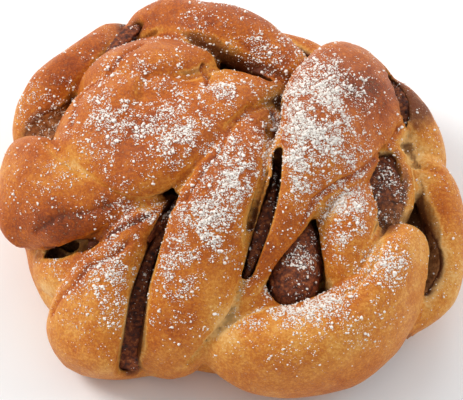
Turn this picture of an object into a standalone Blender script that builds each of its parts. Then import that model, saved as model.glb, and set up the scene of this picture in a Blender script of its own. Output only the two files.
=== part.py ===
"""A cinnamon knot: one long strip of sweet dough, folded round cinnamon filling, wound and tied, then baked.

Lengths are in millimetres here and are scaled to metres when the meshes are made. +Z is up, the bun rests on
z = 0 and its middle stands over the origin. The side with the two strips that cross it faces -Y.
"""

import math

import bmesh
import bpy
import numpy as np
from mathutils import Vector

MM = 0.001

# Driving dimensions, in millimetres
HEART_CENTRE = (0.0, 0.0, 12.0)  # strips lie flat on a dome round this point
STEP_ALONG = 2.0  # distance between two sections of the strip
SECTION_SIDES = 20
SECTION_SQUARENESS = 2.3  # 2 is an ellipse, more is a rounder box
DOUGH_VOXEL = 1.1
DOUGH_SOFTENING = 4
DOUGH_TRIANGLES = 5000
FILLING_VOXEL = 0.6
FILLING_SOFTENING = 1
FILLING_TRIANGLES = 2300
FILLING_RECESS = 1.2  # how far the filling stays below the surface of its strip
FILLING_THIN = 1.8  # thickness of the layer in the middle of the strip
GROOVE_GAP = 1.0  # air between the filling and the dough round it
GROOVE_TRIANGLES = 2400
CLEARANCES = (0.3, 0.2, 0.12, 0.06)  # least air round the filling: where its folds spoil one, the next holds
GROOVE_OPEN = 3.0  # how far the groove's cutter stands out of the strip
FOOT_SLAB = (200.0, 200.0, 30.0)  # the block under z = 0 that trims the underside flat

# Where the strip runs. Each stretch is a part of it that shows, from end to end of the one strip.
# A point is x, y, z of the middle, width, thickness, the side that the folded edges show on in degrees
# round the section (0 faces out of the bun, 90 is to the right of the strip's run), and how wide they gape.
ROUTE = (
    ("under the nub", (
        (16, -30, 18, 10, 10, 0, 3.0),
        (13, -22, 18, 11, 11, 0, 2.0),
        (0, -13, 20, 11, 11, -60, 2.0),
    )),
    ("left loop, out", (
        (-12, -13, 28, 12, 12, -90, 2.0),
        (-21, -15, 32, 12, 12, -95, 2.5),
        (-28, -13.5, 33, 14, 13, -95, 3.0),
        (-34.5, -12.5, 32.5, 18, 14, -95, 3.0),
        (-42, -10, 30.5, 25, 15, -100, 3.5),
        (-50.5, -4.5, 25.5, 29, 15, -105, 4.5),
        (-53, -6, 16, 22, 13, -110, 4.0),
    )),
    ("left loop, back under", (
        (-48, -13, 9, 13, 11, -90, 3.0),
        (-45, -19, 13, 13, 11, -75, 2.0),
        (-39, -24, 17.5, 12, 11, -75, 2.0),
        (-32, -22.5, 23, 11, 10, -75, 2.0),
        (-26, -19.5, 28, 8, 9, -75, 2.0),
        (-20, -16, 31, 6, 8, -75, 1.5),
    )),
    ("front left fan", (
        (-15, -15, 33, 8, 9, -80, 2.0),
        (-19, -18.5, 34, 9, 10, -80, 3.0),
        (-25.5, -25.5, 30, 12, 12, -90, 2.0),
        (-32.5, -33, 22, 20, 14, -90, 2.0),
        (-36, -37, 13, 23, 14, -90, 2.0),
    )),
    ("front crossing strip", (
        (-28, -36, 6, 12, 10, -90, 2.0),
        (-20, -39, 6, 12, 11, -90, 2.0),
        (-14, -42, 13, 17, 13, -90, 2.0),
        (-10, -38, 23, 21, 15, -90, 2.0),
        (-7.5, -31.5, 30, 22, 16, -90, 2.0),
        (-4, -19, 39, 19, 16, -90, 2.0),
        (2, -6.5, 42, 16, 14, -90, 1.5),
        (6, 5, 39, 11, 12, -60, 1.5),
    )),
    ("right shoulder", (
        (20, 14, 28, 12, 12, 30, 2.0),
        (35, 25, 24, 13, 13, 70, 7.0),
        (42.5, 22, 25, 15, 15, 75, 7.0),
        (48, 14.5, 22, 16, 14, 130, 2.0),
        (49, 8, 17, 15, 13, 180, 2.0),
    )),
    ("ring round the foot", (
        (46, 0, 10, 17, 16, 80, 2.0),
        (42, -18, 8, 17, 16, 60, 2.0),
        (31, -31, 8, 17, 16, 60, 2.0),
        (15, -38, 8, 17, 16, 60, 2.0),
        (-6, -36, 8, 17, 16, 60, 2.0),
        (-25, -30, 8, 17, 16, 60, 2.0),
        (-39, -21, 8, 17, 16, 50, 2.5),
        (-45, -4, 9, 18, 15, 50, 3.0),
        (-46, 12, 12, 17, 15, 60, 5.0),
    )),
    ("left back roll", (
        (-48, 22, 18, 15, 15, 110, 9.0),
        (-45.5, 29.5, 22.5, 16, 14, 160, 2.0),
        (-38.5, 35.5, 24, 16, 14, 180, 2.0),
        (-32.5, 42, 23.5, 16, 14, 130, 3.0),
        (-28, 46, 20, 15, 14, 90, 9.0),
    )),
    ("back of the foot", (
        (-10, 46, 10, 21, 15, 60, 3.0),
        (10, 45, 9, 21, 15, 60, 3.0),
        (29, 40, 10, 21, 15, 60, 3.0),
    )),
    ("broad crossing strip", (
        (35, 34, 16, 25, 15, 90, 3.0),
        (35.5, 27.5, 26, 30, 16, 105, 2.5),
        (33.5, 20.5, 32.5, 33, 17, 105, 2.5),
        (27.5, 9.5, 38, 32, 17, 105, 2.5),
        (23.5, -2, 40, 28, 17, 105, 3.0),
        (17, -11, 39, 19, 15, 110, 2.5),
        (12.5, -21.5, 36, 12, 12, 110, 2.5),
        (8, -28, 31, 9, 10, 110, 2.5),
        (2, -36, 25, 7, 9, 110, 2.0),
    )),
    ("front right roll", (
        (-3, -39, 18, 13, 13, 60, 2.0),
        (4, -43, 16, 22, 18, 60, 2.5),
        (15, -45, 16, 26, 20, 60, 2.5),
        (28, -42, 17, 28, 20, 70, 3.0),
        (37, -34, 19, 28, 18, 80, 4.0),
        (41.5, -25, 20, 27, 15, 80, 4.5),
        (39, -20, 12, 16, 12, 60, 3.0),
    )),
    ("cinnamon sided lobe", (
        (33, -17, 18, 12, 13, -120, 2.0),
        (36, -11, 21.5, 15, 16, -120, 2.0),
        (37.5, -4, 24.5, 16, 19, -120, 2.0),
        (37, 4, 25, 16, 18, -120, 2.0),
        (32, 12, 24, 12, 12, -60, 2.0),
    )),
    ("top left lobe", (
        (22, 14, 25, 12, 12, 60, 2.0),
        (13, 18, 32, 13, 13, 90, 2.0),
        (3, 16, 38, 19, 14, 150, 2.0),
        (-8, 8, 41, 28, 16, 180, 2.0),
        (-21, 1, 41, 36, 17, 180, 2.0),
        (-31, 5, 38.5, 32, 17, 180, 2.0),
        (-36.5, 10, 31, 24, 14, 180, 2.0),
        (-37, 15, 21, 15, 12, 180, 2.0),
    )),
    ("lobe behind it", (
        (-34, 21, 23, 12, 11, 200, 2.0),
        (-32, 25, 30, 15, 12, 240, 2.0),
        (-28, 25.5, 35.5, 22, 13, 240, 2.0),
        (-20, 25.5, 38.5, 26, 14, 240, 2.0),
        (-12, 25.5, 38.5, 22, 13, 240, 2.0),
        (-6, 25, 34, 11, 11, 240, 2.0),
        (-3, 22, 27, 9, 9, 240, 2.0),
    )),
    ("middle of the back", (
        (12, 30, 20, 12, 12, 250, 2.0),
        (25, 35, 19, 14, 13, 250, 2.0),
        (17, 42, 20, 16, 14, 260, 3.0),
        (0, 45, 19, 18, 14, 260, 3.0),
        (-16, 45, 16, 15, 14, 260, 3.0),
    )),
    ("arch over the back", (
        (-25, 43, 17, 12, 12, 170, 2.0),
        (-22, 45, 25, 14, 13, 150, 2.5),
        (-15, 46, 30, 17, 15, 150, 2.5),
        (-7, 44, 32, 19, 16, 150, 2.5),
        (2, 40, 34, 19, 16, 150, 2.5),
        (10, 35, 33, 17, 15, 150, 2.5),
        (16, 29, 31, 16, 14, 150, 2.0),
        (22, 20, 26, 14, 13, 90, 2.0),
    )),
    ("small inner strip", (
        (30, 5, 26, 14, 13, -30, 2.0),
        (32, -3, 27, 14, 13, -90, 2.0),
        (30.5, -11, 29.5, 16, 14, -90, 2.0),
        (29.5, -19.5, 30.5, 17, 14, -90, 2.0),
        (30, -28.5, 25.5, 14, 13, -90, 2.0),
        (34, -34, 15, 12, 12, -90, 2.0),
    )),
    ("right flank", (
        (40, -33, 8, 10, 10, -90, 2.0),
        (51, -26, 11, 9, 10, -130, 3.5),
        (54.5, -18, 14, 10, 10, -130, 4.5),
        (54.5, -8, 18, 12, 11, -160, 2.5),
        (51, 2, 21, 13, 12, -180, 2.0),
        (45, 9, 21, 11, 11, -180, 2.0),
    )),
)
# Filling that lies open in the gaps between two strips: a name, how far the gap is cut clear above it, and
# points in the same form as the route's
FILLED_GAPS = (
    ("between the fan and the front strip", 12.0, (
        (-12, -12.5, 34, 4, 4, -20, 1.5),
        (-15.5, -18.5, 31, 4, 4, -20, 2.0),
        (-20, -26, 24, 6, 6, -30, 3.0),
        (-22.5, -33, 18, 8, 6, -35, 5.0),
        (-24, -39, 11, 8, 6, -35, 6.0),
        (-24.5, -43, 6, 8, 6, -35, 6.0),
    )),
    ("between the two crossing strips", 12.0, (
        (8.5, -4, 37, 4, 4, 20, 1.0),
        (7.5, -10, 36.5, 5, 5, 20, 2.0),
        (6.5, -15.5, 35, 6, 5, 20, 4.0),
        (4.5, -22, 32, 6, 5, 20, 4.5),
        (2.5, -28, 28.5, 5, 5, 20, 2.0),
    )),
    ("on the side of the cinnamon sided lobe", 4.0, (
        (36.5, 3, 25, 12, 14, 70, 11.0),
        (37.8, -5, 24.5, 12, 14, 70, 14.0),
        (38.3, -11, 22.5, 12, 12, 75, 11.0),
        (37.8, -16, 20, 11, 8, 80, 6.5),
        (37, -21, 18, 10, 6, 80, 3.0),
    )),
)
# Gaps with nothing in them, in the same form
BARE_GAPS = (
    ("under the arch over the back", 12.0, (
        (-5, 31.5, 34, 6, 6, 75, 1.5),
        (-1, 31, 33.5, 6, 6, 75, 2.0),
        (6, 29.3, 33, 6, 6, 75, 3.5),
        (11, 26, 32, 6, 6, 75, 4.5),
        (14.5, 22, 31, 6, 6, 75, 3.5),
        (16, 18.5, 31, 4, 4, 75, 1.5),
    )),
)
# The strip's rolled end, all cinnamon, that stands in the hole: x, y, z and thickness
NUB = (
    (18.5, -17.5, 31, 5),
    (17.5, -22.5, 29.5, 10),
    (16.5, -28, 27, 13),
    (16, -33, 23.5, 11.5),
    (16, -36, 21, 6),
)
NUB_GAP = 1.5  # air round the nub
# Centres and half sizes of lumps where folds have baked together
BAKED_TOGETHER = (
    ((0, 1, 11), (46, 42, 18)),  # the middle of the bun
    ((-22, 20, 40), (10, 7, 6)),  # between the two lobes at the top left
)

CRUST = ((0.58, 0.27, 0.09, 1.0), 0.45)
CINNAMON = ((0.12, 0.045, 0.02, 1.0), 0.8)


def clear_scene():
    for obj in list(bpy.data.objects):
        bpy.data.objects.remove(obj)


def dress(obj, name, colour, roughness):
    """Gives a piece its one material."""
    made = bpy.data.materials.new(name)
    made.use_nodes = True
    shader = made.node_tree.nodes["Principled BSDF"]
    shader.inputs["Base Color"].default_value = colour
    shader.inputs["Roughness"].default_value = roughness
    shader.inputs["Metallic"].default_value = 0.0
    obj.data.materials.clear()
    obj.data.materials.append(made)
    obj.data.shade_smooth()


def smooth_path(points):
    """Rows of the route's points, read from a Catmull-Rom curve every STEP_ALONG millimetres."""
    rows = np.array(points, float)
    ends = np.vstack([2 * rows[0] - rows[1], rows, 2 * rows[-1] - rows[-2]])
    found = []
    for i in range(1, len(ends) - 2):
        before, start, end, after = ends[i - 1 : i + 3]
        count = max(1, round(float(np.linalg.norm((end - start)[:3])) / STEP_ALONG))
        for t in np.arange(count) / count:
            bend = 2 * before - 5 * start + 4 * end - after
            turn = 3 * (start - end) + after - before
            found.append(start + 0.5 * t * (end - before + t * (bend + t * turn)))
    found.append(rows[-1])
    return np.array(found)


def unit(vectors):
    return vectors / np.maximum(np.linalg.norm(vectors, axis=-1, keepdims=True), 1e-9)


def frames(path):
    """Out-of-the-bun and sideways unit vectors at each row of a path."""
    run = unit(np.gradient(path[:, :3], axis=0))
    away = path[:, :3] - np.array(HEART_CENTRE)
    out = unit(away - (away * run).sum(1, keepdims=True) * run)
    return out, np.cross(run, out)


def dough_sections(path):
    """A rounded section of the strip at each row: wide sideways, thinner out of the bun."""
    out, side = frames(path)
    angle = np.arange(SECTION_SIDES) * math.tau / SECTION_SIDES
    power = 2 / SECTION_SQUARENESS
    across = np.sign(np.sin(angle)) * abs(np.sin(angle)) ** power
    up = np.sign(np.cos(angle)) * abs(np.cos(angle)) ** power
    return (
        path[:, None, :3]
        + side[:, None] * (path[:, 3, None] / 2 * across)[..., None]
        + out[:, None] * (path[:, 4, None] / 2 * up)[..., None]
    )


def filling_sections(path, grown, top):
    """A thin wedge at each row, from the strip's middle to its folded edges, grown by a gap all round."""
    out, side = frames(path)
    run = unit(np.gradient(path[:, :3], axis=0))
    angle = np.radians(path[:, 5, None])
    towards = out * np.cos(angle) + side * np.sin(angle)
    across = np.cross(run, towards)
    reach = 1 / np.hypot(2 * np.cos(angle) / path[:, 4, None], 2 * np.sin(angle) / path[:, 3, None])
    inner = path[:, :3] - towards * grown
    outer = path[:, :3] + towards * (reach + top)
    thin = across * (FILLING_THIN / 2 + grown)
    wide = across * (path[:, 6, None] / 2 + grown)
    return np.stack([inner + thin, inner - thin, outer - wide, outer + wide], axis=1)


def round_sections(path, grown):
    """A round section at each row, for the rolled end."""
    rows = np.array(path, float)
    run = unit(np.gradient(rows[:, :3], axis=0))
    across = unit(np.cross(run, (1.0, 0.0, 0.0)))
    up = np.cross(run, across)
    angle = np.arange(SECTION_SIDES) * math.tau / SECTION_SIDES
    radius = rows[:, 3, None, None] / 2 + grown
    turn = across[:, None] * np.sin(angle)[:, None] + up[:, None] * np.cos(angle)[:, None]
    return rows[:, None, :3] + radius * turn


def lofted(mesh, sections):
    """Adds a closed tube through the sections to a bmesh."""
    rings = [
        [mesh.verts.new(Vector(point) * MM) for point in section] for section in sections
    ]
    sides = len(rings[0])
    for ring, after in zip(rings, rings[1:]):
        for i in range(sides):
            j = (i + 1) % sides
            mesh.faces.new((ring[i], after[i], after[j], ring[j]))
    mesh.faces.new(rings[0])
    mesh.faces.new(list(reversed(rings[-1])))


def new_object(name, mesh):
    bmesh.ops.recalc_face_normals(mesh, faces=mesh.faces)
    data = bpy.data.meshes.new(name)
    mesh.to_mesh(data)
    mesh.free()
    obj = bpy.data.objects.new(name, data)
    bpy.context.scene.collection.objects.link(obj)
    return obj


def whole_route():
    return smooth_path([point for _, points in ROUTE for point in points])


def apply_modifiers(obj):
    graph = bpy.context.evaluated_depsgraph_get()
    data = bpy.data.meshes.new_from_object(obj.evaluated_get(graph))
    obj.modifiers.clear()
    obj.data = data


def keep_largest_piece(obj):
    """Drops inner shells and loose scraps: everything but the piece with the most faces."""
    mesh = bmesh.new()
    mesh.from_mesh(obj.data)
    left = set(mesh.verts)
    pieces = []
    while left:
        piece, edge = set(), [next(iter(left))]
        while edge:
            vert = edge.pop()
            if vert in piece:
                continue
            piece.add(vert)
            edge.extend(e.other_vert(vert) for e in vert.link_edges)
        pieces.append(piece)
        left -= piece
    pieces.sort(key=len)
    bmesh.ops.delete(mesh, geom=[v for p in pieces[:-1] for v in p], context="VERTS")
    bmesh.ops.triangulate(mesh, faces=mesh.faces)
    mesh.to_mesh(obj.data)
    mesh.free()


def fused(mesh, name, voxel, smoothing, triangles):
    """Fuses overlapping closed shapes into one skin, smooths it and thins it out to a number of triangles."""
    obj = new_object(name, mesh)
    remesh = obj.modifiers.new("fuse", "REMESH")
    remesh.mode = "VOXEL"
    remesh.voxel_size = voxel * MM
    apply_modifiers(obj)
    keep_largest_piece(obj)
    smooth = obj.modifiers.new("soften", "SMOOTH")
    smooth.factor = 0.5
    smooth.iterations = smoothing
    thin = obj.modifiers.new("thin", "DECIMATE")
    thin.ratio = triangles / len(obj.data.polygons)
    apply_modifiers(obj)
    keep_largest_piece(obj)
    return obj


def cut(obj, cutter, solver="EXACT"):
    boolean = obj.modifiers.new("cut", "BOOLEAN")
    boolean.operation = "DIFFERENCE"
    boolean.solver = solver
    boolean.object = cutter
    apply_modifiers(obj)
    keep_largest_piece(obj)


def grown_copy(obj, distance):
    """A copy of a piece with its skin moved outwards."""
    copy = obj.copy()
    copy.data = obj.data.copy()
    bpy.context.scene.collection.objects.link(copy)
    swell = copy.modifiers.new("swell", "DISPLACE")
    swell.strength = distance * MM
    swell.mid_level = 0.0
    apply_modifiers(copy)
    return copy


def foot_slab():
    mesh = bmesh.new()
    made = bmesh.ops.create_cube(mesh, size=1.0)
    bmesh.ops.scale(mesh, vec=[side * MM for side in FOOT_SLAB], verts=made["verts"])
    bmesh.ops.translate(mesh, vec=(0, 0, -FOOT_SLAB[2] / 2 * MM), verts=made["verts"])
    return new_object("foot_slab", mesh)


def dough_strip(path):
    mesh = bmesh.new()
    lofted(mesh, dough_sections(path))
    for centre, half_sizes in BAKED_TOGETHER:
        lump = bmesh.ops.create_icosphere(mesh, subdivisions=4, radius=1.0)["verts"]
        bmesh.ops.scale(mesh, vec=[s * MM for s in half_sizes], verts=lump)
        bmesh.ops.translate(mesh, vec=[c * MM for c in centre], verts=lump)
    return fused(mesh, "dough", DOUGH_VOXEL, DOUGH_SOFTENING, DOUGH_TRIANGLES)


def cinnamon_layer(path):
    """The filling: a layer all along the strip, what lies open in the gaps, and the rolled end."""
    mesh = bmesh.new()
    lofted(mesh, filling_sections(path, 0.0, -FILLING_RECESS))
    for _, _, points in FILLED_GAPS:
        lofted(mesh, filling_sections(smooth_path(points), 0.0, 0.0))
    lofted(mesh, round_sections(smooth_path(NUB), 0.0))
    return fused(mesh, "cinnamon_filling", FILLING_VOXEL, FILLING_SOFTENING, FILLING_TRIANGLES)


def groove_cutter(path):
    """The filling grown by its gap and reaching out of the dough, to be cut away from it."""
    mesh = bmesh.new()
    lofted(mesh, filling_sections(path, GROOVE_GAP, GROOVE_OPEN))
    for _, clear, points in FILLED_GAPS:
        lofted(mesh, filling_sections(smooth_path(points), GROOVE_GAP, clear))
    for _, clear, points in BARE_GAPS:
        lofted(mesh, filling_sections(smooth_path(points), 0.0, clear))
    lofted(mesh, round_sections(smooth_path(NUB), NUB_GAP))
    return fused(mesh, "groove_cutter", FILLING_VOXEL, FILLING_SOFTENING, GROOVE_TRIANGLES)


def stand_over_origin(objects):
    """Moves the pieces together: the middle of their box comes over the origin, the foot to z = 0."""
    corners = [vert.co for obj in objects for vert in obj.data.vertices]
    low = Vector([min(co[i] for co in corners) for i in range(3)])
    high = Vector([max(co[i] for co in corners) for i in range(3)])
    shift = Vector((-(low.x + high.x) / 2, -(low.y + high.y) / 2, -low.z))
    for obj in objects:
        for vert in obj.data.vertices:
            vert.co += shift


def main():
    clear_scene()
    path = whole_route()
    dough = dough_strip(path)
    filling = cinnamon_layer(path)
    groove = groove_cutter(path)
    clearances = [grown_copy(filling, distance) for distance in CLEARANCES]
    slab = foot_slab()
    cut(dough, groove, "MANIFOLD")
    for clearance in clearances:
        cut(dough, clearance, "MANIFOLD")
    cut(dough, slab)
    cut(filling, slab)
    for helper in (groove, slab, *clearances):
        bpy.data.objects.remove(helper)
    stand_over_origin((dough, filling))
    dress(dough, "baked crust", *CRUST)
    dress(filling, "cinnamon filling", *CINNAMON)
    for obj in (dough, filling):
        print(obj.name, len(obj.data.polygons), "triangles")


main()
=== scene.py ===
# %% [markdown]
# # A cinnamon knot
# A cinnamon knot is a sweet bun made from one long strip of dough. The strip is folded round a layer of
# cinnamon and sugar, wound round itself and tied, then baked until its top is golden brown and dusted
# with icing sugar. This lesson builds its visible skin round the plain solid that was made for it.

import math

import bmesh
import bpy
import numpy as np
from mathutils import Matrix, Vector
from mathutils.bvhtree import BVHTree


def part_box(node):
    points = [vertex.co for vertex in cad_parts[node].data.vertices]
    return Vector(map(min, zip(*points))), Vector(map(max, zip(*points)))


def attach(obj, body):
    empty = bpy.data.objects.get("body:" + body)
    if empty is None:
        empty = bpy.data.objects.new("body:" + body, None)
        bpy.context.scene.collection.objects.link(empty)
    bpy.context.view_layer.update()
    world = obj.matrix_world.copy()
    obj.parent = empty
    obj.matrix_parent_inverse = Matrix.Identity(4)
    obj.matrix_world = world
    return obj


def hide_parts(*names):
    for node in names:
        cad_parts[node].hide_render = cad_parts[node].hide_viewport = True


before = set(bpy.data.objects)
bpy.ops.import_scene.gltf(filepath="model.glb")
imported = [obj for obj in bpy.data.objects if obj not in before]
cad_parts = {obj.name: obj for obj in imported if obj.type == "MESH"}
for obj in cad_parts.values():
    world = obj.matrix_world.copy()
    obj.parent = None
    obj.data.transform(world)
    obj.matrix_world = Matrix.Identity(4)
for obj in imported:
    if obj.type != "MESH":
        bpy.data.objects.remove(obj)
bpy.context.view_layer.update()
dough_low, dough_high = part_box("dough")

# %% [markdown]
# ## The way the strip runs
# The knot is one strip, so one table says where its middle runs, how wide and thick it is there and which
# side its folded edges show on. A spline through the listed points keeps the curves as soft as dough.
# Modelling each fold on its own would leave seams that a real strip doesn't have.

# %% Route of the strip
MM = 0.001
HEART_CENTRE = np.array((0.0, 0.0, 12.0))  # the strips lie flat on a dome round this point, in millimetres
STEP_ALONG = 1.6  # millimetres between two sections of the strip
# x, y, z of the middle, width, thickness, the folded edges' side in degrees (0 faces out of the bun, 90 is
# to the right of the run), and how wide the folded edges gape, all lengths in millimetres
ROUTE = (
    # under the nub
    (16, -30, 18, 10, 10, 0, 3.0),
    (13, -22, 18, 11, 11, 0, 2.0),
    (0, -13, 20, 11, 11, -60, 2.0),
    # left loop, out
    (-12, -13, 28, 12, 12, -90, 2.0),
    (-21, -15, 32, 12, 12, -95, 2.5),
    (-28, -13.5, 33, 14, 13, -95, 3.0),
    (-34.5, -12.5, 32.5, 18, 14, -95, 3.0),
    (-42, -10, 30.5, 25, 15, -100, 3.5),
    (-50.5, -4.5, 25.5, 29, 15, -105, 4.5),
    (-50, -4.5, 15.5, 16, 12, -110, 4.0),
    # left loop, back under
    (-43.5, -12, 9, 11, 10, -90, 3.0),
    (-43.5, -18.5, 13, 12, 11, -75, 2.0),
    (-39, -24, 17.5, 12, 11, -75, 2.0),
    (-32, -22.5, 23, 11, 10, -75, 2.0),
    (-26, -19.5, 28, 8, 9, -75, 2.0),
    (-20, -16, 31, 6, 8, -75, 1.5),
    # front left fan
    (-15, -15, 33, 8, 9, -80, 2.0),
    (-19, -18.5, 34, 9, 10, -80, 3.0),
    (-25.5, -25.5, 30, 12, 12, -90, 2.0),
    (-32, -34.5, 21.5, 22, 15, -90, 2.0),
    (-33.5, -40.5, 12, 25, 15, -90, 2.0),
    # front crossing strip
    (-27, -40, 6, 14, 12, -90, 2.0),
    (-20, -39, 6, 12, 11, -90, 2.0),
    (-14, -42, 13, 17, 13, -90, 2.0),
    (-10, -38, 23, 21, 15, -90, 2.0),
    (-7.5, -31.5, 30, 22, 16, -90, 2.0),
    (-4, -19, 39, 19, 16, -90, 2.0),
    (2, -6.5, 42, 16, 14, -90, 1.5),
    (6, 5, 39, 11, 12, -60, 1.5),
    # right shoulder
    (20, 14, 28, 12, 12, 30, 2.0),
    (35, 25, 24, 13, 13, 70, 7.0),
    (42.5, 22, 25, 15, 15, 75, 7.0),
    (48, 14.5, 22, 16, 14, 130, 2.0),
    (49, 8, 17, 15, 13, 180, 2.0),
    # ring round the foot
    (46, 0, 10, 17, 16, 80, 2.0),
    (42, -18, 8, 17, 16, 60, 2.0),
    (31, -31, 8, 17, 16, 60, 2.0),
    (15, -38, 8, 17, 16, 60, 2.0),
    (-6, -36, 8, 17, 16, 60, 2.0),
    (-25, -30, 8, 17, 16, 60, 2.0),
    (-39, -21, 8, 17, 16, 50, 2.5),
    (-45, -4, 9, 18, 15, 50, 3.0),
    (-46, 12, 12, 17, 15, 60, 5.0),
    # left back roll
    (-48, 22, 18, 15, 15, 110, 9.0),
    (-45.5, 29.5, 22.5, 16, 14, 160, 2.0),
    (-38.5, 35.5, 24, 16, 14, 180, 2.0),
    (-32.5, 42, 23.5, 16, 14, 130, 3.0),
    (-28, 46, 20, 15, 14, 90, 9.0),
    # back of the foot
    (-10, 46, 10, 21, 15, 60, 3.0),
    (10, 45, 9, 21, 15, 60, 3.0),
    (29, 40, 10, 21, 15, 60, 3.0),
    # broad crossing strip
    (35, 34, 16, 25, 15, 90, 3.0),
    (35.5, 27.5, 26, 30, 16, 105, 2.5),
    (33.5, 20.5, 32.5, 33, 17, 105, 2.5),
    (27.5, 9.5, 38, 32, 17, 105, 2.5),
    (23.5, -2, 40, 28, 17, 105, 3.0),
    (17, -11, 39, 19, 15, 110, 2.5),
    (12.5, -21.5, 36, 12, 12, 110, 2.5),
    (8, -28, 31, 9, 10, 110, 2.5),
    (2, -36, 25, 7, 9, 110, 2.0),
    # front right roll
    (-3, -39, 18, 13, 13, 60, 2.0),
    (4, -43, 16, 22, 18, 60, 2.5),
    (15, -45, 16, 26, 20, 60, 2.5),
    (28, -42, 17, 28, 20, 70, 3.0),
    (37, -34, 19, 28, 18, 80, 4.0),
    (41.5, -25, 20, 27, 15, 80, 4.5),
    (39, -20, 12, 16, 12, 60, 3.0),
    # cinnamon sided lobe
    (33, -17, 18, 12, 13, -120, 2.0),
    (36, -11, 21.5, 15, 16, -120, 2.0),
    (37.5, -4, 24.5, 16, 19, -120, 2.0),
    (37, 4, 25, 16, 18, -120, 2.0),
    (32, 12, 24, 12, 12, -60, 2.0),
    # top left lobe
    (22, 14, 25, 12, 12, 60, 2.0),
    (13, 18, 32, 13, 13, 90, 2.0),
    (3, 16, 38, 19, 14, 150, 2.0),
    (-8, 8, 41, 28, 16, 180, 2.0),
    (-21, 1, 41, 36, 17, 180, 2.0),
    (-31, 5, 38.5, 32, 17, 180, 2.0),
    (-36.5, 10, 31, 24, 14, 180, 2.0),
    (-37, 15, 21, 15, 12, 180, 2.0),
    # lobe behind it
    (-34, 21, 23, 12, 11, 200, 2.0),
    (-32, 25, 30, 15, 12, 240, 2.0),
    (-28, 25.5, 35.5, 22, 13, 240, 2.0),
    (-20, 25.5, 38.5, 26, 14, 240, 2.0),
    (-12, 25.5, 38.5, 22, 13, 240, 2.0),
    (-6, 25, 34, 11, 11, 240, 2.0),
    (-3, 22, 27, 9, 9, 240, 2.0),
    # middle of the back
    (12, 30, 20, 12, 12, 250, 2.0),
    (25, 35, 19, 14, 13, 250, 2.0),
    (17, 42, 20, 16, 14, 260, 3.0),
    (0, 45, 19, 18, 14, 260, 3.0),
    (-16, 45, 16, 15, 14, 260, 3.0),
    # arch over the back
    (-25, 43, 17, 12, 12, 170, 2.0),
    (-22, 45, 25, 14, 13, 150, 2.5),
    (-15, 46, 30, 17, 15, 150, 2.5),
    (-7, 42.5, 32, 22, 16, 150, 2.5),
    (2, 38.5, 34, 22, 16, 150, 2.5),
    (10, 33.5, 33, 20, 15, 150, 2.5),
    (16, 28, 31, 18, 14, 150, 2.0),
    (22, 20, 26, 14, 13, 90, 2.0),
    # small inner strip
    (30, 5, 26, 14, 13, -30, 2.0),
    (32, -3, 27, 14, 13, -90, 2.0),
    (30.5, -11, 29.5, 16, 14, -90, 2.0),
    (29.5, -19.5, 30.5, 17, 14, -90, 2.0),
    (30, -28.5, 25.5, 14, 13, -90, 2.0),
    (34, -34, 15, 12, 12, -90, 2.0),
    # right flank
    (40, -33, 8, 10, 10, -90, 2.0),
    (51, -26, 11, 9, 10, -130, 3.5),
    (54.5, -18, 14, 10, 10, -130, 4.5),
    (54.5, -8, 18, 12, 11, -160, 2.5),
    (51, 2, 21, 13, 12, -180, 2.0),
    (45, 9, 21, 11, 11, -180, 2.0),
)


def smooth_path(points):
    """Rows of the points, read from a Catmull-Rom curve every STEP_ALONG millimetres."""
    rows = np.array(points, float)
    ends = np.vstack([2 * rows[0] - rows[1], rows, 2 * rows[-1] - rows[-2]])
    found = []
    for i in range(1, len(ends) - 2):
        before, start, end, after = ends[i - 1 : i + 3]
        count = max(1, round(float(np.linalg.norm((end - start)[:3])) / STEP_ALONG))
        for t in np.arange(count) / count:
            bend = 2 * before - 5 * start + 4 * end - after
            turn = 3 * (start - end) + after - before
            found.append(start + 0.5 * t * (end - before + t * (bend + t * turn)))
    found.append(rows[-1])
    return np.array(found)


strip = smooth_path(ROUTE)
print("the strip is", round(float(np.linalg.norm(np.diff(strip[:, :3], axis=0), axis=1).sum())), "mm long")

# %% [markdown]
# ## Sections of dough and of filling
# Proved dough has a soft, slightly boxy section: wide and rounded, never a plain ellipse. The filling is a
# thin layer from the middle of the strip to its folded edges, a little wider where the edges gape.
# Both are drawn in the same frame at each step, so that they stay together in every bend.

# %% Sections
SECTION_SIDES = 32
SECTION_SQUARENESS = 2.3  # 2 is an ellipse, more is a rounder box
FILLING_THIN = 1.8  # millimetres of filling in the middle of the strip


def unit(vectors):
    return vectors / np.maximum(np.linalg.norm(vectors, axis=-1, keepdims=True), 1e-9)


def frames(path):
    """Run, out-of-the-bun and sideways unit vectors at each row of a path."""
    run = unit(np.gradient(path[:, :3], axis=0))
    away = path[:, :3] - HEART_CENTRE
    out = unit(away - (away * run).sum(1, keepdims=True) * run)
    return run, out, np.cross(run, out)


def dough_sections(path):
    _, out, side = frames(path)
    angle = np.arange(SECTION_SIDES) * math.tau / SECTION_SIDES
    power = 2 / SECTION_SQUARENESS
    across = np.sign(np.sin(angle)) * abs(np.sin(angle)) ** power
    up = np.sign(np.cos(angle)) * abs(np.cos(angle)) ** power
    return (
        path[:, None, :3]
        + side[:, None] * (path[:, 3, None] / 2 * across)[..., None]
        + out[:, None] * (path[:, 4, None] / 2 * up)[..., None]
    )


def filling_sections(path, grown, top):
    run, out, side = frames(path)
    angle = np.radians(path[:, 5, None])
    towards = out * np.cos(angle) + side * np.sin(angle)
    across = np.cross(run, towards)
    reach = 1 / np.hypot(2 * np.cos(angle) / path[:, 4, None], 2 * np.sin(angle) / path[:, 3, None])
    inner = path[:, :3] - towards * grown
    outer = path[:, :3] + towards * (reach + top)
    thin = across * (FILLING_THIN / 2 + grown)
    wide = across * (path[:, 6, None] / 2 + grown)
    return np.stack([inner + thin, inner - thin, outer - wide, outer + wide], axis=1)


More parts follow.
